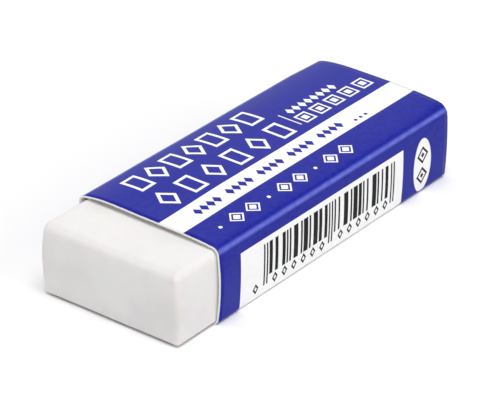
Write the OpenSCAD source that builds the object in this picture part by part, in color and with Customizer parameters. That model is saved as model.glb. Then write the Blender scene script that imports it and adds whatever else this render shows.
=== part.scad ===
// Block eraser of white vinyl, held in a sleeve of folded and glued card.
// +X runs along its length and the bare end points to -X. +Z is up.
// The origin is on the surface it rests on, under the middle of the block's length and the sleeve's width.

/* [Eraser block] */
// Length of the block
block_length = 50; // [35:0.5:80]
// Width of the block
block_width = 18.9; // [12:0.1:30]
// Height of the block
block_height = 8.8; // [6:0.1:20]
// Rounding of the top edges along the block
top_edge_radius = 0.8; // [0.6:0.1:2]
// Rounding of the bottom edges along the block
bottom_edge_radius = 0.3; // [0.3:0.1:2]
// Rounding of the four upright corners
upright_corner_radius = 0.7; // [0.3:0.1:3]
// Rounding of the top edge of each end face
end_top_radius = 1; // [0.3:0.1:3]
// Rounding of the bottom edge of each end face
end_bottom_radius = 0.3; // [0.3:0.1:2]

/* [Card sleeve] */
// Length of the sleeve
sleeve_length = 43.5; // [20:0.5:70]
// Thickness of the card
card_thickness = 0.2; // [0.15:0.05:0.35]
// Outer radius of the two folds beside the top panel
top_fold_radius = 0.9; // [0.5:0.1:1]
// Outer radius of the two folds beside the bottom panel
low_fold_radius = 0.6; // [0.5:0.1:0.7]
// Rise of the top panel's middle above its two folds
top_crown = 0.6; // [0.1:0.1:1.5]
// Bulge of each side panel's middle beyond its two folds
side_bow = 0.2; // [0.1:0.1:0.8]
// Height that the glue flap reaches inside the back panel
flap_height = 6.5; // [2:0.5:7]
// Height of the back panel's raw edge above the bottom
seam_height = 1.2; // [0.8:0.1:1.8]

/* [Fit] */
// Room between the block and the card on each side
side_clearance = 0.05; // [0.05:0.05:0.5]
// Room between the block and the bottom panel
under_clearance = 0.05; // [0.05:0.05:0.5]
// Room between the block and the folds of the top panel
top_clearance = 0.15; // [0.05:0.05:0.5]
// Depth of the block's rear end inside the sleeve's rear edge
rear_recess = 0; // [0:0.1:5]

/* [Hidden] */
$fn = 64;
fold_steps = 8;
side_steps = 8;
top_steps = 24;

// Half the width over the folds of the front panel and the glue flap, which hold the block between them
sleeve_half_width = block_width / 2 + side_clearance + card_thickness;
sleeve_height = block_height + 2 * card_thickness + under_clearance + top_clearance;

// The back panel laps over the glue flap from outside, so the sleeve is one card thickness wider at the
// back, and the block and all the folds lie half of that in front of the middle of the sleeve's width.
block_bottom = card_thickness + under_clearance;
lap_shift = -card_thickness / 2;

// Both pieces end together at the rear, apart from the recess.
block_rear = block_length / 2;
sleeve_rear = block_rear + rear_recess;

// Each bowed panel is an arc that passes through its two folds and its middle.
function bow_radius(span, rise) = (span * span / 4 + rise * rise) / (2 * rise);
top_radius = bow_radius(2 * sleeve_half_width, top_crown);
top_centre = [0, sleeve_height + top_crown - top_radius];
side_radius = bow_radius(sleeve_height, side_bow);

// The side is 1 for the lapped back panel and -1 for the front panel.
function side_centre(side) = [
    side * (sleeve_half_width + side_bow - side_radius),
    sleeve_height / 2
];

// Radius of a side panel's outer face, which at the back lies one card thickness outside the glue flap
function panel_radius(side) = side > 0 ? side_radius + card_thickness : side_radius;

// Where two circles cross, right of the way from a to b when turn is 1 and left of it when turn is -1
function circles_cross(a, a_radius, b, b_radius, turn) =
    let (
        gap = norm(b - a),
        along = (gap * gap + a_radius * a_radius - b_radius * b_radius) / (2 * gap),
        across = sqrt(a_radius * a_radius - along * along),
        ahead = (b - a) / gap
    )
    a + along * ahead + turn * across * [ahead[1], -ahead[0]];

// Centre of the fold between a side panel and the top panel, which touches both arcs from within
function top_fold(side) = circles_cross(
    top_centre, top_radius - top_fold_radius,
    side_centre(side), panel_radius(side) - top_fold_radius,
    side
);

// Distance across from the centre of a side panel's arc to a point of it at a height
function arc_reach(radius, height) = sqrt(pow(radius, 2) - pow(height - sleeve_height / 2, 2));

// Centre of the fold between the front panel or the glue flap and the flat bottom panel
function low_fold(side) = [
    side_centre(side)[0] + side * arc_reach(side_radius - low_fold_radius, low_fold_radius),
    low_fold_radius
];

// Direction of a point from a centre, from -90 up to 270 degrees
function heading(centre, point) =
    let (angle = atan2(point[1] - centre[1], point[0] - centre[0]))
    angle < -90.001 ? angle + 360 : angle;

// Direction in which the back panel's arc reaches a height
function back_heading(radius, height) = atan2(height - sleeve_height / 2, arc_reach(radius, height));

// Points along an arc, without its last one, which is where the next stretch starts
function arc(centre, radius, from, to, steps) = [
    for (i = [0:steps - 1])
        let (angle = from + (to - from) * i / steps)
        centre + radius * [cos(angle), sin(angle)]
];

// Closed line round the folded card: its outer face when inset is 0, its inner face when inset is its
// thickness. At step_height the line passes from the glue flap to the back panel, one layer further out.
function card_line(inset, step_height) =
    let (
        back_low = heading(side_centre(1), low_fold(1)),
        back_step = back_heading(panel_radius(1) - inset, step_height),
        back_high = heading(side_centre(1), top_fold(1)),
        top_back = heading(top_centre, top_fold(1)),
        top_front = heading(top_centre, top_fold(-1)),
        front_high = heading(side_centre(-1), top_fold(-1)),
        front_low = heading(side_centre(-1), low_fold(-1)),
        flap_end = side_centre(1) + (side_radius - inset) * [cos(back_step), sin(back_step)]
    )
    concat(
        arc(low_fold(1), low_fold_radius - inset, -90, back_low, fold_steps),
        arc(side_centre(1), side_radius - inset, back_low, back_step, side_steps),
        [flap_end],
        arc(side_centre(1), panel_radius(1) - inset, back_step, back_high, side_steps),
        arc(top_fold(1), top_fold_radius - inset, back_high, top_back, fold_steps),
        arc(top_centre, top_radius - inset, top_back, top_front, top_steps),
        arc(top_fold(-1), top_fold_radius - inset, top_front, front_high, fold_steps),
        arc(side_centre(-1), side_radius - inset, front_high, front_low, side_steps),
        arc(low_fold(-1), low_fold_radius - inset, front_low, 270, fold_steps),
        [[low_fold(-1)[0], inset]]
    );

// A rectangle standing on the first axis, with one rounding for its two low corners and one for its high
module soft_rectangle(width, height, low, high) {
    for (side = [-1, 1]) {
        translate([side * (width / 2 - low), low])
            circle(r = low);
        translate([side * (width / 2 - high), height - high])
            circle(r = high);
    }
    translate([low - width / 2, 0])
        square([width - 2 * low, low]);
    translate([-width / 2, low])
        square([width, height - low - high]);
    translate([high - width / 2, height - high])
        square([width - 2 * high, high]);
}

// The block is what its three outlines share: from its end, from its side and from above.
module eraser_block() {
    color("white")
        translate([0, lap_shift, block_bottom])
            intersection() {
                rotate([90, 0, 90])
                    linear_extrude(block_length, center = true)
                        soft_rectangle(block_width, block_height, bottom_edge_radius, top_edge_radius);
                rotate([90, 0, 0])
                    linear_extrude(block_width, center = true)
                        soft_rectangle(block_length, block_height, end_bottom_radius, end_top_radius);
                translate([0, -block_width / 2, 0])
                    linear_extrude(block_height)
                        soft_rectangle(
                            block_length, block_width, upright_corner_radius, upright_corner_radius
                        );
            }
}

// One sheet folded round the block: glue flap, bottom, front, top and back panel, glued where it laps
module card_sleeve() {
    color("royalblue")
        translate([sleeve_rear - sleeve_length, lap_shift, 0])
            rotate([90, 0, 90])
                linear_extrude(sleeve_length)
                    difference() {
                        polygon(card_line(0, seam_height));
                        polygon(card_line(card_thickness, flap_height));
                    }
}

eraser_block();
card_sleeve();
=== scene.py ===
import math

import bmesh
import bpy
from mathutils import Matrix, Vector, noise


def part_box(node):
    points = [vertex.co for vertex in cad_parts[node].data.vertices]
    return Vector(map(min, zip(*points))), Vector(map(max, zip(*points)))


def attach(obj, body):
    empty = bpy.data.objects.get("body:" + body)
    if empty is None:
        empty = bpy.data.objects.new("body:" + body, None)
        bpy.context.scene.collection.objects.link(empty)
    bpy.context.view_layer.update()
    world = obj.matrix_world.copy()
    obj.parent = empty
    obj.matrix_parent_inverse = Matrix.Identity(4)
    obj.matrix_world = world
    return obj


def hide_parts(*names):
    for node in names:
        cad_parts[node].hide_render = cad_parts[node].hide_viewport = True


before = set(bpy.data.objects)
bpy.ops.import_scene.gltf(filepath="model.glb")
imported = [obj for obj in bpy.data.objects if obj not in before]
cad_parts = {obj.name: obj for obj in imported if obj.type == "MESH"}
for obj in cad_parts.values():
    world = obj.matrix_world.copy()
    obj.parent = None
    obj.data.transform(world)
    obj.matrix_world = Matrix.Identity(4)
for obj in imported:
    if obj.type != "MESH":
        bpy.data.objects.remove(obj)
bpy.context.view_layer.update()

# Sizes are in millimetres in this file, and millimetres() turns them into metres.
MM = 0.001
block_low, block_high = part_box("eraser_block")
sleeve_low, sleeve_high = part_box("card_sleeve")


def millimetres(*sizes):
    return Vector([MM * size for size in sizes])


# The vinyl block: its uprights are softer above than below, and its bare end swells.
END_ROUNDING_LOW, END_ROUNDING_HIGH = 0.4, 1.0
END_ROUNDING_POWER = 3
SIDE_ROUNDING_LOW, SIDE_ROUNDING_HIGH = 0.4, 0.7
BOTTOM_ROUNDING, TOP_ROUNDING = 0.3, 0.95
ROUNDING_STEPS = 6
SIDE_SWELL = 0.17
BARE_END_BULGE, BULGE_REACH = 0.12, 7.0
BARE_END_SWELL, HIGHER_SWELL = 0.3, 0.5
BLOCK_GRID = 0.7
BLOCK_WAVE, BLOCK_WAVE_LENGTH = 0.03, 6.0
BLOCK_WAVE_SEED = 3.7

# The card sleeve, as its section was drawn
CARD = 0.2
TOP_FOLD = 0.9
LOW_FOLD = 0.6
TOP_CROWN = 0.6
SIDE_BOW = 0.2
FLAP_HEIGHT = 6.5
SEAM_HEIGHT = 1.2
CARD_STRIPS = 58
TOP_STEPS, BOTTOM_STEPS, SIDE_STEPS, FLAP_STEPS = 28, 24, 12, 8
TOP_FOLD_STEPS, LOW_FOLD_STEPS = 10, 8
CARD_WAVE, CARD_WAVE_LENGTH = 0.02, 9.0
CARD_WAVE_SEED = 1.3

# How the folded card departs from its drawn section
BACK_SHOULDER_RISE, FRONT_SHOULDER_RISE, SHOULDER_EDGE = 0.19, 0.05, 9.3
MOUTH_SAG, SAG_REACH = 0.2, 12.0
MOUTH_BELLY, BELLY_REACH = 0.2, 5.0
REAR_SLUMP, REAR_REACH, SLUMP_WIDTH = 0.18, 6.0, 1.1
OUT_OF_SQUARE = 0.012

# The back panel laps over the glue flap from outside, so the folds lie half a card in front of the middle.
SLEEVE_HALF = (sleeve_high.y - sleeve_low.y) / MM / 2 - SIDE_BOW - CARD / 2
SLEEVE_SHIFT = (sleeve_high.y + sleeve_low.y) / MM / 2 - CARD / 2
SLEEVE_HEIGHT = sleeve_high.z / MM - TOP_CROWN


# The card's section: a bowed panel is an arc through its two folds and its middle.
def bow_radius(span, rise):
    return (span * span / 4 + rise * rise) / (2 * rise)


TOP_RADIUS = bow_radius(2 * SLEEVE_HALF, TOP_CROWN)
TOP_CENTRE = Vector((0, SLEEVE_HEIGHT + TOP_CROWN - TOP_RADIUS))
SIDE_RADIUS = bow_radius(SLEEVE_HEIGHT, SIDE_BOW)


def side_centre(side):
    """Centre of a side panel's arc: side is 1 for the lapped back panel and -1 for the front panel."""
    return Vector((side * (SLEEVE_HALF + SIDE_BOW - SIDE_RADIUS), SLEEVE_HEIGHT / 2))


def panel_radius(side):
    """Radius of a side panel's printed face. At the back it is one card thickness outside the glue flap."""
    return SIDE_RADIUS + CARD if side > 0 else SIDE_RADIUS


def arc_reach(radius, height):
    """Distance across from the centre of a side panel's arc to its point at a height."""
    return math.sqrt(radius**2 - (height - SLEEVE_HEIGHT / 2) ** 2)


def top_fold(side):
    """Centre of the fold beside the top panel, which touches the top's and the side's arcs from within."""
    first, first_radius = TOP_CENTRE, TOP_RADIUS - TOP_FOLD
    second, second_radius = side_centre(side), panel_radius(side) - TOP_FOLD
    gap = (second - first).length
    along = (gap**2 + first_radius**2 - second_radius**2) / (2 * gap)
    across = math.sqrt(first_radius**2 - along**2)
    ahead = (second - first) / gap
    return first + along * ahead + side * across * Vector((ahead.y, -ahead.x))


def low_fold(side):
    """Centre of the fold between the bottom panel and the front panel or the glue flap."""
    reach = arc_reach(SIDE_RADIUS - LOW_FOLD, LOW_FOLD)
    return Vector((side_centre(side).x + side * reach, LOW_FOLD))


def heading(centre, point):
    """Direction of a point from a centre, from -90 up to 270 degrees, in radians."""
    angle = math.atan2(point.y - centre.y, point.x - centre.x)
    return angle + 2 * math.pi if angle < -math.pi / 2 - 0.001 else angle


def back_heading(radius, height):
    return math.atan2(height - SLEEVE_HEIGHT / 2, arc_reach(radius, height))


class Sheet:
    """The card's printed face, drawn as one line that is carried round each fold and panel in turn."""

    def __init__(self, start):
        self.mesh = bmesh.new()
        self.run = self.mesh.verts.layers.float.new("run")
        self.end = self.mesh.verts.new((0, start.x * MM, start.y * MM))
        self.length = 0.0
        self.folds = []

    def note(self, point, length):
        """Writes how far along the flat card a new point lies, in millimetres."""
        self.length += length
        point[self.run] = self.length
        self.end = point

    def swing(self, centre, radius, turn, steps):
        pivot = (0, centre.x * MM, centre.y * MM)
        for step in range(steps):
            made = bmesh.ops.spin(
                self.mesh, geom=[self.end], cent=pivot, axis=(1, 0, 0), angle=turn / steps, steps=1
            )
            point = [part for part in made["geom_last"] if isinstance(part, bmesh.types.BMVert)][0]
            self.note(point, radius * turn / steps)

    def fold(self, centre, radius, turn, steps):
        self.folds.append(self.length + radius * turn / 2)
        self.swing(centre, radius, turn, steps)

    def straight(self, across, steps):
        for step in range(steps):
            made = bmesh.ops.extrude_vert_indiv(self.mesh, verts=[self.end])
            point = made["verts"][0]
            point.co.y += across * MM / steps
            self.note(point, abs(across) / steps)

    def draw_out(self, length):
        """Draws the line out along the block: a copy of it goes to the far end, and faces join the two."""
        copied = bmesh.ops.duplicate(self.mesh, geom=self.mesh.verts[:] + self.mesh.edges[:])
        far = [part for part in copied["geom"] if isinstance(part, bmesh.types.BMVert)]
        bmesh.ops.translate(self.mesh, vec=(length, 0, 0), verts=far)
        bmesh.ops.bridge_loops(self.mesh, edges=self.mesh.edges[:])


def card_line():
    """The folded line from the back panel's raw edge over the top and round to the glue flap's edge."""
    back, front = side_centre(1), side_centre(-1)
    seam = back_heading(panel_radius(1), SEAM_HEIGHT)
    back_high = heading(back, top_fold(1))
    top_back = heading(TOP_CENTRE, top_fold(1))
    top_front = heading(TOP_CENTRE, top_fold(-1))
    front_high = heading(front, top_fold(-1))
    front_low = heading(front, low_fold(-1))
    back_low = heading(back, low_fold(1))
    flap_end = back_heading(SIDE_RADIUS, FLAP_HEIGHT)
    sheet = Sheet(back + panel_radius(1) * Vector((math.cos(seam), math.sin(seam))))
    sheet.swing(back, panel_radius(1), back_high - seam, SIDE_STEPS)
    sheet.fold(top_fold(1), TOP_FOLD, top_back - back_high, TOP_FOLD_STEPS)
    sheet.swing(TOP_CENTRE, TOP_RADIUS, top_front - top_back, TOP_STEPS)
    sheet.fold(top_fold(-1), TOP_FOLD, front_high - top_front, TOP_FOLD_STEPS)
    sheet.swing(front, SIDE_RADIUS, front_low - front_high, SIDE_STEPS)
    sheet.fold(low_fold(-1), LOW_FOLD, 1.5 * math.pi - front_low, LOW_FOLD_STEPS)
    sheet.straight(low_fold(1).x - low_fold(-1).x, BOTTOM_STEPS)
    sheet.fold(low_fold(1), LOW_FOLD, back_low + math.pi / 2, LOW_FOLD_STEPS)
    sheet.swing(back, SIDE_RADIUS, flap_end - back_low, FLAP_STEPS)
    return sheet


def even_steps(low, high, count):
    """The places that part a length into so many equal strips, with both ends left out."""
    return [low + (high - low) * index / count for index in range(1, count)]


def cut_across(mesh, axis, places):
    """Cuts a mesh at places along one axis."""
    for place in places:
        point, normal = Vector((0, 0, 0)), Vector((0, 0, 0))
        point[axis] = place
        normal[axis] = 1
        whole = mesh.verts[:] + mesh.edges[:] + mesh.faces[:]
        bmesh.ops.bisect_plane(mesh, geom=whole, dist=1e-9, plane_co=point, plane_no=normal)


def uneven(mesh, wave, wave_length, seed):
    """Moves each point a little along its normal, as nothing soft or folded is perfectly flat."""
    mesh.normal_update()
    shift = Vector((seed, 2 * seed, 3 * seed))
    for point in mesh.verts:
        place = point.co / (wave_length * MM) + shift
        point.co += point.normal * (wave * MM * noise.noise(place))


def ease(share):
    """Falls smoothly from 1 at 0 to 0 at 1."""
    share = min(max(share, 0), 1)
    return (1 - share) ** 2 * (1 + 2 * share)


def arch(share):
    """Rises from 0 at 0 to 1 halfway and falls back to 0 at 1."""
    return 4 * share * (1 - share)


def settle_card(mesh, run, top_folds):
    """Squares the shoulders, sags and bellies the mouth, and slumps the top's folds at the rear."""
    for point in mesh.verts:
        from_mouth = (point.co.x - sleeve_low.x) / MM
        from_rear = (sleeve_high.x - point.co.x) / MM
        across, up = point.co.y / MM - SLEEVE_SHIFT, point.co.z / MM
        if up > SLEEVE_HEIGHT / 2:
            share = min(abs(across) / SHOULDER_EDGE, 1) ** 2
            rise = BACK_SHOULDER_RISE if across > 0 else FRONT_SHOULDER_RISE
            sag = MOUTH_SAG * ease(from_mouth / SAG_REACH)
            point.co.z += (rise * arch(share) - sag * (1 - share)) * MM
        if across < 0:
            belly = MOUTH_BELLY * ease(from_mouth / BELLY_REACH) * max(arch(up / SLEEVE_HEIGHT), 0)
            point.co.y -= belly * MM
        for fold in top_folds:
            slump = REAR_SLUMP * ease(from_rear / REAR_REACH) * ease(abs(point[run] - fold) / SLUMP_WIDTH)
            point.co -= Vector((0, math.copysign(slump, across), slump)) * MM * math.sqrt(0.5)
        point.co.x += OUT_OF_SQUARE * MM * (across + SLEEVE_HALF)


def finished(mesh, name, materials, body, node):
    """Turns a bmesh into a piece that stands for a node, hangs it on a body and gives it the materials."""
    for face in mesh.faces:
        face.smooth = True
    data = bpy.data.meshes.new(name)
    mesh.to_mesh(data)
    mesh.free()
    for material in materials:
        data.materials.append(material)
    piece = bpy.data.objects.new(name, data)
    bpy.context.scene.collection.objects.link(piece)
    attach(piece, body)
    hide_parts(node)
    return piece


def block_cuts(axis, low_rounding, high_rounding):
    """Places to cut the block along one axis: close together in its roundings and a grid apart between."""
    low, high = block_low[axis], block_high[axis]
    inner_low, inner_high = low + low_rounding * MM, high - high_rounding * MM
    between = round((inner_high - inner_low) / (BLOCK_GRID * MM))
    places = even_steps(low, inner_low, ROUNDING_STEPS) + even_steps(inner_low, inner_high, between)
    return places + even_steps(inner_high, high, ROUNDING_STEPS) + [inner_low, inner_high]


def rounded(place):
    """Where a point of the sharp block lies once its edges are rounded, from the middle, in millimetres."""
    half = (block_high - block_low) / 2 / MM
    rise = (place.z / half.z + 1) / 2
    radii = Vector((
        END_ROUNDING_LOW + (END_ROUNDING_HIGH - END_ROUNDING_LOW) * rise**END_ROUNDING_POWER,
        SIDE_ROUNDING_LOW + (SIDE_ROUNDING_HIGH - SIDE_ROUNDING_LOW) * rise,
        TOP_ROUNDING if place.z > 0 else BOTTOM_ROUNDING,
    ))
    core = half - radii
    out = Vector([max(abs(part) - inner, 0) / radius for part, inner, radius in zip(place, core, radii)])
    if out.length > 0:
        out.normalize()
    near = [
        min(abs(part), inner) + radius * step for part, inner, radius, step in zip(place, core, radii, out)
    ]
    bulge = BARE_END_BULGE * ease((place.x + half.x) / BULGE_REACH) if place.y < 0 else 0
    near[1] += (SIDE_SWELL + bulge) * arch(rise) * near[1] / half.y
    if place.x < 0:
        near[0] += BARE_END_SWELL * arch(rise) * (rise + HIGHER_SWELL) * ease(1 + place.x / half.x)
    return Vector([math.copysign(part, way) for part, way in zip(near, place)])


def vinyl_block(vinyl):
    """The moulded block: a cube cut into small faces, whose points near an edge move onto its rounding."""
    mesh = bmesh.new()
    middle = (block_high + block_low) / 2
    bmesh.ops.create_cube(mesh, size=1)
    bmesh.ops.scale(mesh, vec=block_high - block_low, verts=mesh.verts)
    bmesh.ops.translate(mesh, vec=middle, verts=mesh.verts)
    cut_across(mesh, 0, block_cuts(0, END_ROUNDING_HIGH, END_ROUNDING_HIGH))
    cut_across(mesh, 1, block_cuts(1, SIDE_ROUNDING_HIGH, SIDE_ROUNDING_HIGH))
    cut_across(mesh, 2, block_cuts(2, BOTTOM_ROUNDING, TOP_ROUNDING))
    for point in mesh.verts:
        point.co = middle + rounded((point.co - middle) / MM) * MM
    uneven(mesh, BLOCK_WAVE, BLOCK_WAVE_LENGTH, BLOCK_WAVE_SEED)
    return finished(mesh, "vinyl_block", [vinyl], "eraser", "eraser_block")


def printed_sleeve():
    """The card sleeve: one folded line drawn out along the block, given its thickness inwards."""
    sheet = card_line()
    sheet.draw_out(sleeve_high.x - sleeve_low.x)
    mesh, run = sheet.mesh, sheet.run
    # The print is placed from the fold between the top and the front panel, with up towards the back.
    origin = sheet.folds[1]
    finishes = [printed_card([origin - fold for fold in sheet.folds]), raw_card()]
    bmesh.ops.translate(mesh, vec=(sleeve_low.x, SLEEVE_SHIFT * MM, 0), verts=mesh.verts)
    cut_across(mesh, 0, even_steps(sleeve_low.x, sleeve_high.x, CARD_STRIPS))
    bmesh.ops.recalc_face_normals(mesh, faces=mesh.faces)
    top = max(mesh.faces, key=lambda face: face.calc_center_median().z)
    if top.normal.z < 0:
        bmesh.ops.reverse_faces(mesh, faces=mesh.faces)
    blank = mesh.loops.layers.uv.new("blank")
    for face in mesh.faces:
        for corner in face.loops:
            along = (corner.vert.co.x - sleeve_low.x) / MM
            corner[blank].uv = (along / BLANK_SPAN, (origin - corner.vert[run]) / BLANK_SPAN + 0.5)
    settle_card(mesh, run, sheet.folds[:2])
    uneven(mesh, CARD_WAVE, CARD_WAVE_LENGTH, CARD_WAVE_SEED)
    # What the sleeve rests on holds the bottom panel up.
    for point in mesh.verts:
        point.co.z = max(point.co.z, sleeve_low.z)
    piece = finished(mesh, "printed_sleeve", finishes, "sleeve", "card_sleeve")
    thick = piece.modifiers.new("card", "SOLIDIFY")
    thick.thickness = CARD * MM
    thick.offset = -1
    thick.use_even_offset = True
    thick.material_offset = 1
    thick.material_offset_rim = 1
    return piece


# Materials, whose colours are screen values from 0 to 255
BLANK_SPAN = 100.0
PRINT_BLUR = 0.02
VINYL, VINYL_SHADE = (236, 234, 233), (229, 226, 226)
RAW_CARD, RAW_CARD_SHADE = (254, 253, 250), (240, 238, 233)
PAPER, PAPER_SHADE = (254, 254, 254), (249, 249, 250)
BLUE_INK, BLUE_INK_PALER = (27, 33, 146), (38, 44, 161)
# The pale blue of the fold lines: partly worn ink, partly a painted highlight
CREASE_WEAR_AND_HIGHLIGHT = (130, 140, 240)
BLACK_INK = (4, 4, 7)


class Value:
    """A shader value that takes part in sums, so that a mask is written as an expression."""

    def __init__(self, recipe, socket):
        self.recipe = recipe
        self.socket = socket

    def math(self, operation, *others):
        return self.recipe.math(operation, self, *others)

    def __add__(self, other):
        return self.math("ADD", other)

    def __sub__(self, other):
        return self.math("SUBTRACT", other)

    def __mul__(self, other):
        return self.math("MULTIPLY", other)

    def __truediv__(self, other):
        return self.math("DIVIDE", other)

    def __rsub__(self, other):
        return self.recipe.math("SUBTRACT", other, self)

    def __abs__(self):
        return self.math("ABSOLUTE")

    def least(self, other):
        return self.math("MINIMUM", other)

    def most(self, other):
        return self.math("MAXIMUM", other)

    __radd__ = __add__
    __rmul__ = __mul__


class Recipe:
    """A material's node tree. node() makes any node from its type, its settings and its sockets."""

    def __init__(self, name):
        self.material = bpy.data.materials.new(name)
        self.material.use_nodes = True
        self.tree = self.material.node_tree
        self.tree.nodes.clear()

    def node(self, kind, settings=None, **sockets):
        made = self.tree.nodes.new("ShaderNode" + kind)
        for key, setting in (settings or {}).items():
            setattr(made, key, setting)
        for key, content in sockets.items():
            self.fill(made.inputs[int(key[1:]) if key[1:].isdigit() else key.replace("_", " ")], content)
        return made

    def fill(self, socket, content):
        if isinstance(content, Value):
            content = content.socket
        if isinstance(content, bpy.types.NodeSocket):
            self.tree.links.new(content, socket)
        else:
            socket.default_value = content

    def math(self, operation, *values):
        sockets = {f"i{index}": value for index, value in enumerate(values)}
        return Value(self, self.node("Math", {"operation": operation}, **sockets).outputs[0])

    def noise(self, vector, scale, detail=2.0, roughness=0.5):
        """Even noise from 0 to 1, at so many waves for each metre of the object."""
        made = self.node("TexNoise", None, Vector=vector, Scale=scale, Detail=detail, Roughness=roughness)
        return Value(self, made.outputs[0])

    def between(self, value, low, high, at_low=0.0, at_high=1.0):
        """A smooth rise from at_low to at_high as value goes from low to high."""
        made = self.node(
            "MapRange",
            {"interpolation_type": "SMOOTHSTEP"},
            i0=value, i1=low, i2=high, i3=at_low, i4=at_high,
        )
        return Value(self, made.outputs[0])

    def mix(self, share, first, second):
        """Mixes two colours by share."""
        made = self.node("Mix", {"data_type": "RGBA"}, i0=share, i6=first, i7=second)
        return made.outputs[2]

    def bump(self, height, strength, distance, normal=None):
        sockets = {"Height": height, "Strength": strength, "Distance": distance}
        if normal is not None:
            sockets["Normal"] = normal
        return self.node("Bump", None, **sockets).outputs[0]

    def surface(self, **sockets):
        shader = self.node("BsdfPrincipled", None, **sockets)
        self.node("OutputMaterial", None, Surface=shader.outputs[0])
        return self.material


def colour(screen):
    """A colour's screen values as the shader's linear numbers."""
    shares = [part / 255 for part in screen]
    linear = [share / 12.92 if share <= 0.04045 else ((share + 0.055) / 1.055) ** 2.4 for share in shares]
    return (*linear, 1.0)


def white_vinyl():
    recipe = Recipe("white_vinyl")
    place = recipe.node("TexCoord").outputs["Object"]
    broad = recipe.noise(place, scale=180, detail=3)
    fine = recipe.noise(place, scale=5200, detail=3, roughness=0.6)
    tint = recipe.mix(recipe.between(broad, 0.35, 0.7), colour(VINYL), colour(VINYL_SHADE))
    rough = recipe.between(broad + 0.3 * fine, 0.3, 1.0, at_low=0.46, at_high=0.6)
    swell = recipe.bump(broad, strength=0.25, distance=0.3 * MM)
    grain = recipe.bump(fine, strength=0.25, distance=0.02 * MM, normal=swell)
    return recipe.surface(
        Base_Color=tint, Roughness=rough, Normal=grain, Subsurface_Weight=0.3, Subsurface_Scale=MM
    )


def raw_card():
    recipe = Recipe("raw_card")
    place = recipe.node("TexCoord").outputs["Object"]
    stretched = recipe.node("Mapping", None, Vector=place, Scale=(0.25, 1.0, 1.0)).outputs[0]
    fibre = recipe.noise(stretched, scale=9000, detail=4, roughness=0.65)
    tint = recipe.mix(recipe.between(fibre, 0.3, 0.75), colour(RAW_CARD), colour(RAW_CARD_SHADE))
    nap = recipe.bump(fibre, strength=0.5, distance=0.03 * MM)
    return recipe.surface(Base_Color=tint, Roughness=0.85, Normal=nap)


# The print, in millimetres on the flat card: across from the sleeve's mouth, up from its front top fold
STRIPE_LOW, STRIPE_HIGH = 4.73, 8.14
PANEL_LEFT, PANEL_RIGHT = 3.86, 34.48
PANEL_LOW, PANEL_HIGH = -10.2, -2.0

BARS_LEFT, BARS_RIGHT = 8.0, 32.8
BARS_LOW, BARS_HIGH = -6.92, -2.72
GUARD_BARS_LOW = -7.95
BAR_MODULES = 95
END_GUARD, MIDDLE_GUARD, CELL_MODULES = 3, 5, 7
BAR_SEED, SECOND_HALF_SEED = 4.5, 10
INK_SPREAD = 0.12
MODULE_BLUR = PRINT_BLUR * BAR_MODULES / (BARS_RIGHT - BARS_LEFT)
TALLY_LEFT, TALLY_UP, TALLY_PITCH, TALLY_COUNT, TALLY_GROUP = 5.75, -7.76, 1.75, 15, 7
TALLY_HALF_WIDTH, TALLY_HALF_HEIGHT, TALLY_STROKE = 0.52, 0.68, 0.22

OVAL_ACROSS, OVAL_UP = 38.45, -5.6
OVAL_HALF_WIDTH, OVAL_HALF_HEIGHT = 1.75, 3.5
OVAL_MARK_RISE, OVAL_MARK_HALF_WIDTH, OVAL_MARK_HALF_HEIGHT = 1.35, 1.1, 1.15
OVAL_MARK_STROKE, OVAL_MARK_EYE = 0.26, 0.55

UPPER_LEFT, UPPER_UP, UPPER_PITCH, UPPER_COUNT = 3.85, 15.62, 3.3, 7
LOWER_LEFT, LOWER_UP, LOWER_PITCH, LOWER_COUNT = 2.9, 10.78, 4.05, 6
LARGE_HALF_WIDTH, LARGE_HALF_HEIGHT, LARGE_STROKE = 1.2, 1.72, 0.4
DIAMOND_WIDER, DIAMOND_TALLER = 1.15, 1.1
DIVIDER_ACROSS, DIVIDER_LOW, DIVIDER_HIGH, DIVIDER_HALF = 28.05, 9.73, 13.2, 0.09
FINE_LEFT, FINE_UP, FINE_PITCH, FINE_COUNT = 29.2, 12.75, 1.16, 8
FINE_HALF_WIDTH, FINE_HALF_HEIGHT = 0.5, 0.72
FRAMED_LEFT, FRAMED_UP, FRAMED_PITCH, FRAMED_COUNT = 28.4, 10.5, 2.8, 5
FRAMED_HALF_WIDTH, FRAMED_HALF_HEIGHT, FRAMED_STROKE, FRAMED_EYE = 1.0, 1.05, 0.26, 0.6

DASH_LEFT, DASH_UP, DASH_PITCH, DASH_COUNT, DASH_GROUP = 4.1, 6.35, 1.13, 25, 5
DASH_HALF_WIDTH, DASH_HALF_HEIGHT = 0.54, 0.75
DOT_HALF = 0.24
END_DOTS_LEFT, END_DOTS_UP, END_DOTS_PITCH, END_DOTS_COUNT = 32.5, 5.6, 0.98, 3
PAIR_LEFT, PAIR_UP, PAIR_PITCH, PAIR_COUNT, PAIR_GROUP = 2.3, 2.45, 2.875, 9, 3
PAIR_HALF_WIDTH, PAIR_HALF_HEIGHT, PAIR_STROKE, PAIR_EYE = 1.2, 1.1, 0.2, 0.42

# Pale lines along the folds, partly worn ink and partly a painted highlight on the fold, and a thin bare
# line of worn ink at the mouth
CREASE_REACH, CREASE_BELOW = 0.48, 0.3
CREASE_FAINT, CREASE_STRONG = 0.45, 0.7
MOUTH_WEAR, MOUTH_WEAR_BLUR, MOUTH_WEAR_STRONG = 0.16, 0.04, 0.85


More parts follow.
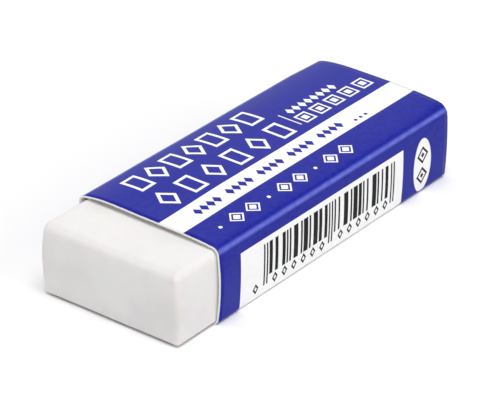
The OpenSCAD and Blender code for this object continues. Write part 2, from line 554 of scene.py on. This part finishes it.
class Print:
    """The flat card as shader values. A place is a distance across and a distance up from some centre."""

    def __init__(self, recipe):
        self.recipe = recipe
        flat = recipe.node("UVMap", {"uv_map": "blank"}).outputs[0]
        split = recipe.node("SeparateXYZ", None, Vector=flat)
        self.across = Value(recipe, split.outputs[0]) * BLANK_SPAN
        self.up = (Value(recipe, split.outputs[1]) - 0.5) * BLANK_SPAN

    def at(self, across, up):
        return self.across - across, self.up - up

    def row(self, left, pitch, up):
        """A place in each cell of an endless row, measured from the cell's middle, and the cell's number."""
        cell = (self.across - left) / pitch
        number = cell.math("FLOOR")
        return ((cell - number - 0.5) * pitch, self.up - up), number

    def filled(self, distance):
        """1 where a distance from a shape's edge is inside it."""
        return self.recipe.between(distance, -PRINT_BLUR, PRINT_BLUR, 1.0, 0.0)

    def outlined(self, distance, stroke):
        return self.filled(abs(distance + stroke / 2) - stroke / 2)

    def field(self, left, right, low, high):
        middle = self.at((left + right) / 2, (low + high) / 2)
        return self.filled(square(middle, (right - left) / 2, (high - low) / 2))

    def among(self, number, count):
        """1 in the first so many cells of a row."""
        return number.math("COMPARE", (count - 1) / 2, count / 2 - 0.25)


def square(place, half_width, half_height):
    """Distance from a rectangle's edge, less than 0 inside it."""
    return (abs(place[0]) - half_width).most(abs(place[1]) - half_height)


def diamond(place, half_width, half_height):
    side = math.hypot(half_width, half_height)
    across, up = abs(place[0]) * (half_height / side), abs(place[1]) * (half_width / side)
    return across + up - half_width * half_height / side


def ellipse(place, half_width, half_height):
    across, up = place[0] / half_width, place[1] / half_height
    return ((across * across + up * up).math("SQRT") - 1) * half_width


def outlined_row(ink, left, pitch, up, count, first):
    """Upright rectangles and diamonds in turn, in outline. first is 0 or 1 for the shape that leads."""
    place, number = ink.row(left, pitch, up)
    shapes = ink.recipe.between(
        (number + first).math("PINGPONG", 1),
        0.4,
        0.6,
        square(place, LARGE_HALF_WIDTH, LARGE_HALF_HEIGHT),
        diamond(place, LARGE_HALF_WIDTH * DIAMOND_WIDER, LARGE_HALF_HEIGHT * DIAMOND_TALLER),
    )
    return ink.outlined(shapes, LARGE_STROKE) * ink.among(number, count)


def eyed(ink, distance, stroke, eye):
    """A shape in outline with the same shape small and filled inside it."""
    return ink.outlined(distance, stroke).most(ink.filled(distance + eye))


def white_marks(ink):
    """Rows of plain white shapes on the blue, with a thin upright line between the large and the small."""
    marks = outlined_row(ink, UPPER_LEFT, UPPER_PITCH, UPPER_UP, UPPER_COUNT, 0)
    marks = marks.most(outlined_row(ink, LOWER_LEFT, LOWER_PITCH, LOWER_UP, LOWER_COUNT, 1))
    divider = ink.at(DIVIDER_ACROSS, (DIVIDER_LOW + DIVIDER_HIGH) / 2)
    marks = marks.most(ink.filled(square(divider, DIVIDER_HALF, (DIVIDER_HIGH - DIVIDER_LOW) / 2)))
    place, number = ink.row(FINE_LEFT, FINE_PITCH, FINE_UP)
    fine = ink.filled(diamond(place, FINE_HALF_WIDTH, FINE_HALF_HEIGHT))
    marks = marks.most(fine * ink.among(number, FINE_COUNT))
    place, number = ink.row(FRAMED_LEFT, FRAMED_PITCH, FRAMED_UP)
    framed = eyed(ink, square(place, FRAMED_HALF_WIDTH, FRAMED_HALF_HEIGHT), FRAMED_STROKE, FRAMED_EYE)
    marks = marks.most(framed * ink.among(number, FRAMED_COUNT))
    place, number = ink.row(PAIR_LEFT, PAIR_PITCH, PAIR_UP)
    is_dot = ink.filled((number + 0.5).math("FLOORED_MODULO", PAIR_GROUP) - 1)
    pair = eyed(ink, diamond(place, PAIR_HALF_WIDTH, PAIR_HALF_HEIGHT), PAIR_STROKE, PAIR_EYE)
    dot = ink.filled(ellipse(place, DOT_HALF, DOT_HALF))
    both = dot * is_dot + pair * (1 - is_dot)
    return marks.most(both * ink.among(number, PAIR_COUNT))


def dark_marks(ink):
    """Short runs of small upright lozenges along the white stripe, and three dots after them."""
    place, number = ink.row(DASH_LEFT, DASH_PITCH, DASH_UP)
    in_group = ink.filled((number + 0.5).math("FLOORED_MODULO", DASH_GROUP) - (DASH_GROUP - 1))
    dash = ink.filled(diamond(place, DASH_HALF_WIDTH, DASH_HALF_HEIGHT))
    marks = dash * in_group * ink.among(number, DASH_COUNT)
    place, number = ink.row(END_DOTS_LEFT, END_DOTS_PITCH, END_DOTS_UP)
    dot = ink.filled(ellipse(place, DOT_HALF, DOT_HALF))
    return marks.most(dot * ink.among(number, END_DOTS_COUNT))


def code_bars(ink):
    """Upright bars that spell nothing: two in each cell, with edges drawn by lot, in tall guards."""
    recipe = ink.recipe
    module = (ink.across - BARS_LEFT) * (BAR_MODULES / (BARS_RIGHT - BARS_LEFT))
    from_middle = abs(module - BAR_MODULES / 2)
    cell = (from_middle - MIDDLE_GUARD / 2) / CELL_MODULES
    number = cell.math("FLOOR")
    seed = number + module.math("GREATER_THAN", BAR_MODULES / 2) * SECOND_HALF_SEED + BAR_SEED
    lot = recipe.node("TexWhiteNoise", {"noise_dimensions": "1D"}, W=seed).outputs["Color"]
    lots = recipe.node("SeparateColor", None, Color=lot).outputs
    first = (Value(recipe, lots[0]) * 3).math("FLOOR") + 1
    second = (Value(recipe, lots[1]) * 2).math("FLOOR") + 1 + first
    third = ((Value(recipe, lots[2]) * 2).math("FLOOR") + 1 + second).least(CELL_MODULES - 1)
    inside = (cell - number) * CELL_MODULES

    def past(edge):
        return recipe.between(inside - edge, -MODULE_BLUR, MODULE_BLUR)

    bars = 1 - past(first + INK_SPREAD) + past(second - INK_SPREAD) - past(third + INK_SPREAD)
    end_guard = abs(from_middle - (BAR_MODULES - END_GUARD) / 2) - END_GUARD / 2
    guard = ink.filled(end_guard.least(from_middle - MIDDLE_GUARD / 2))
    guard_bars = recipe.between((from_middle * math.pi).math("COSINE"), -0.1, 0.1, 1.0, 0.0)
    tall = ink.field(BARS_LEFT, BARS_RIGHT, GUARD_BARS_LOW, BARS_HIGH) * guard * guard_bars
    return tall.most(ink.field(BARS_LEFT, BARS_RIGHT, BARS_LOW, BARS_HIGH) * (1 - guard) * bars)


def tally_marks(ink):
    """Small outlined diamonds under the bars: one that stands alone, then two groups."""
    place, number = ink.row(TALLY_LEFT, TALLY_PITCH, TALLY_UP)
    left_out = (number + 0.5).math("FLOORED_MODULO", TALLY_GROUP).math("COMPARE", 1.5, 0.25)
    marks = ink.outlined(diamond(place, TALLY_HALF_WIDTH, TALLY_HALF_HEIGHT), TALLY_STROKE)
    return marks * ink.among(number, TALLY_COUNT) * (1 - left_out)


def oval_marks(ink):
    """Two diamonds in the oval, one above its middle and one below."""
    across, up = ink.at(OVAL_ACROSS, OVAL_UP)
    mark = diamond((across, abs(up) - OVAL_MARK_RISE), OVAL_MARK_HALF_WIDTH, OVAL_MARK_HALF_HEIGHT)
    return eyed(ink, mark, OVAL_MARK_STROKE, OVAL_MARK_EYE)


def printed_card(folds):
    """Blue and black ink on white card. folds are the places up the flat card where it was creased."""
    recipe = Recipe("printed_card")
    place = recipe.node("TexCoord").outputs["Object"]
    ink = Print(recipe)
    stripe = ink.filled(abs(ink.up - (STRIPE_LOW + STRIPE_HIGH) / 2) - (STRIPE_HIGH - STRIPE_LOW) / 2)
    oval = ink.filled(ellipse(ink.at(OVAL_ACROSS, OVAL_UP), OVAL_HALF_WIDTH, OVAL_HALF_HEIGHT))
    panel = ink.field(PANEL_LEFT, PANEL_RIGHT, PANEL_LOW, PANEL_HIGH)
    white = stripe.most(oval).most(panel).most(white_marks(ink)) * (1 - dark_marks(ink))
    black = code_bars(ink).most(tally_marks(ink)).most(oval_marks(ink))
    mottle = recipe.noise(place, scale=1500, detail=3, roughness=0.6)
    mottled = recipe.between(mottle, 0.3, 0.75)
    blue = recipe.mix(mottled, colour(BLUE_INK), colour(BLUE_INK_PALER))
    scuff = recipe.noise(place, scale=900, detail=4, roughness=0.7)
    # Painted highlight and worn ink: a pale band just below each fold, made patchy by the scuff noise
    crease_wear_and_highlight = 0
    for fold in folds:
        crease_wear_and_highlight = recipe.between(abs(ink.up - fold + CREASE_BELOW), 0.0, CREASE_REACH, 1.0, 0.0) + crease_wear_and_highlight
    crease_wear_and_highlight = crease_wear_and_highlight * recipe.between(scuff, 0.3, 0.75, CREASE_FAINT, CREASE_STRONG)
    blue = recipe.mix(crease_wear_and_highlight, blue, colour(CREASE_WEAR_AND_HIGHLIGHT))
    paper = recipe.mix(mottled, colour(PAPER), colour(PAPER_SHADE))
    from_worn = ink.across - scuff * MOUTH_WEAR
    worn = recipe.between(from_worn, -MOUTH_WEAR_BLUR, MOUTH_WEAR_BLUR, MOUTH_WEAR_STRONG, 0.0)
    tint = recipe.mix(black, recipe.mix(white.most(worn), blue, paper), colour(BLACK_INK))
    fibre = recipe.noise(place, scale=7000, detail=3, roughness=0.6)
    rough = recipe.between(mottle + 0.3 * fibre, 0.3, 1.0, at_low=0.32, at_high=0.44)
    nap = recipe.bump(fibre, strength=0.15, distance=0.01 * MM)
    return recipe.surface(Base_Color=tint, Roughness=rough, Specular_IOR_Level=0.1, Normal=nap)


# The floor, the light and the camera
CAMERA_AZIMUTH = -52.559
CAMERA_ELEVATION = 28.815
CAMERA_ROLL = 0.43
CAMERA_DISTANCE = 336.64
PHOTO_LENS = 142.23
CLOSER = 1.5
AIM = millimetres(-0.6, -0.424, 4.043)
FLOOR_SIZE = 1.5
FLOOR_WHITENESS = 0.95
SKY_STRENGTH = 0.38
LAMP_DISTANCE = 1.5


def pale_floor():
    mesh = bmesh.new()
    bmesh.ops.create_grid(mesh, x_segments=1, y_segments=1, size=FLOOR_SIZE)
    data = bpy.data.meshes.new("floor")
    mesh.to_mesh(data)
    mesh.free()
    floor = bpy.data.objects.new("floor", data)
    bpy.context.scene.collection.objects.link(floor)
    recipe = Recipe("pale_floor")
    pale = (FLOOR_WHITENESS, FLOOR_WHITENESS, FLOOR_WHITENESS, 1)
    data.materials.append(recipe.surface(Base_Color=pale, Roughness=0.8))


def away_from_middle(azimuth, elevation):
    """The direction of a viewer: azimuth 0 faces the side with the bars, and 90 the rear end."""
    turn, rise = math.radians(azimuth), math.radians(elevation)
    return Vector((math.sin(turn) * math.cos(rise), -math.cos(turn) * math.cos(rise), math.sin(rise)))


def soft_light(name, azimuth, elevation, size, power):
    """A square lamp that faces the object from a direction."""
    lamp = bpy.data.lights.new(name, "AREA")
    lamp.size = size
    lamp.energy = power
    holder = bpy.data.objects.new(name, lamp)
    bpy.context.scene.collection.objects.link(holder)
    away = away_from_middle(azimuth, elevation)
    holder.location = away * LAMP_DISTANCE
    holder.rotation_euler = away.to_track_quat("Z", "Y").to_euler()
    holder.visible_camera = False


def studio():
    world = bpy.data.worlds.new("studio")
    world.use_nodes = True
    background = world.node_tree.nodes["Background"]
    background.inputs["Color"].default_value = (1, 1, 1, 1)
    background.inputs["Strength"].default_value = SKY_STRENGTH
    bpy.context.scene.world = world
    soft_light("key", azimuth=-42, elevation=75, size=0.9, power=15.7)
    soft_light("fill", azimuth=5, elevation=30, size=0.7, power=3.3)
    soft_light("backdrop", azimuth=131, elevation=22, size=1.0, power=2.6)
    bpy.context.scene.view_settings.view_transform = "Standard"


def camera():
    lens = bpy.data.cameras.new("camera")
    lens.sensor_width = 36
    lens.lens = PHOTO_LENS * CLOSER
    lens.clip_start = 0.01
    lens.clip_end = 10
    holder = bpy.data.objects.new("camera", lens)
    bpy.context.scene.collection.objects.link(holder)
    away = away_from_middle(CAMERA_AZIMUTH, CAMERA_ELEVATION)
    facing = away.to_track_quat("Z", "Y").to_matrix().to_4x4()
    roll = Matrix.Rotation(math.radians(CAMERA_ROLL), 4, "Z")
    holder.matrix_world = Matrix.Translation(AIM + away * CAMERA_DISTANCE * MM) @ facing @ roll
    bpy.context.scene.camera = holder


pale_floor()
studio()
camera()
vinyl_block(white_vinyl())
printed_sleeve()
